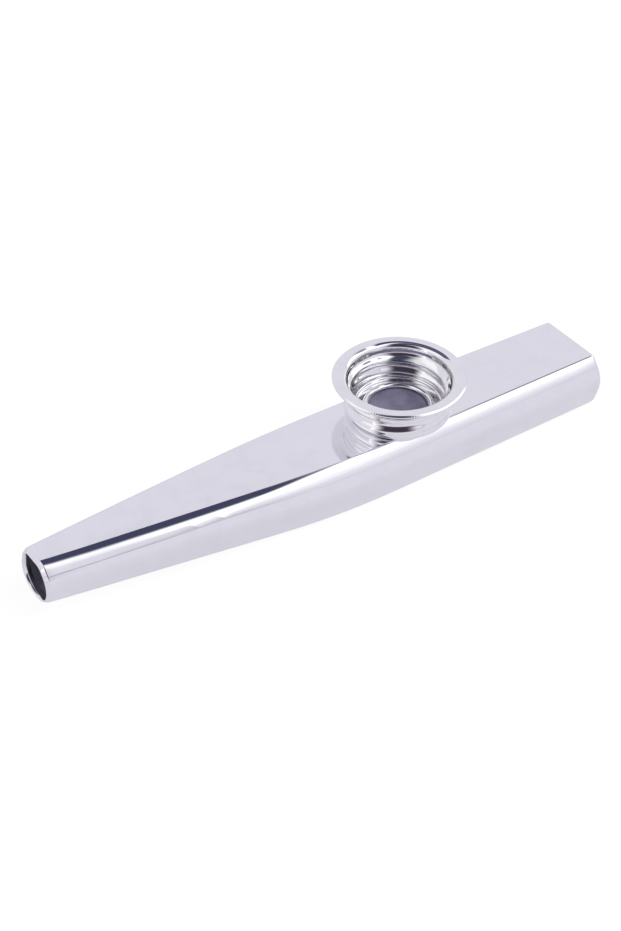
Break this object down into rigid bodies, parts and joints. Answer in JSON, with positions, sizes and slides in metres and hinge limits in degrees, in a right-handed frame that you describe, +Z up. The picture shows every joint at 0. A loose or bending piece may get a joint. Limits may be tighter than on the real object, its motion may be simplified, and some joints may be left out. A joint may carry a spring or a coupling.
{
  "type": "kazoo",
  "caption": "Metal kazoo: flattened tapering tube with a threaded socket, a buzzing film disc and a flanged screw cap, open at both ends.",
  "frame": {"origin": "on the table under the middle of the tube's length, on the plane of symmetry", "axes": "+X along the tube towards the mouthpiece, +Z up along the axis of the socket and cap"},
  "size_m": [0.1194, 0.0254, 0.02],
  "materials": {
    "tube_metal": "bright polished",
    "spun_metal": "bright, spun",
    "cap_metal": "bright, spun",
    "card": "matt card",
    "film": "thin cloudy film"
  },
  "bodies": {
    "kazoo_body": {"body_tube": "tube_metal", "turret_socket": "spun_metal"},
    "resonator": {"membrane_ring_lower": "card", "membrane_film": "film", "membrane_ring_upper": "card"},
    "cap": {"screw_cap": "cap_metal"}
  },
  "joints": [
    {"name": "cap_turn", "type": "hinge", "parent": "kazoo_body", "child": "resonator", "pos_m": [0.01655, 0, 0.02], "axis": [0, 0, 1], "range_deg": [0, 540]},
    {"name": "cap_lift", "type": "slide", "parent": "resonator", "child": "cap", "axis": [0, 0, 1], "range_m": [0, 0.0045]}
  ],
  "couplings": [
    {"joint": "cap_lift", "follows": "cap_turn", "m_per_rad": 0.00047746}
  ]
}
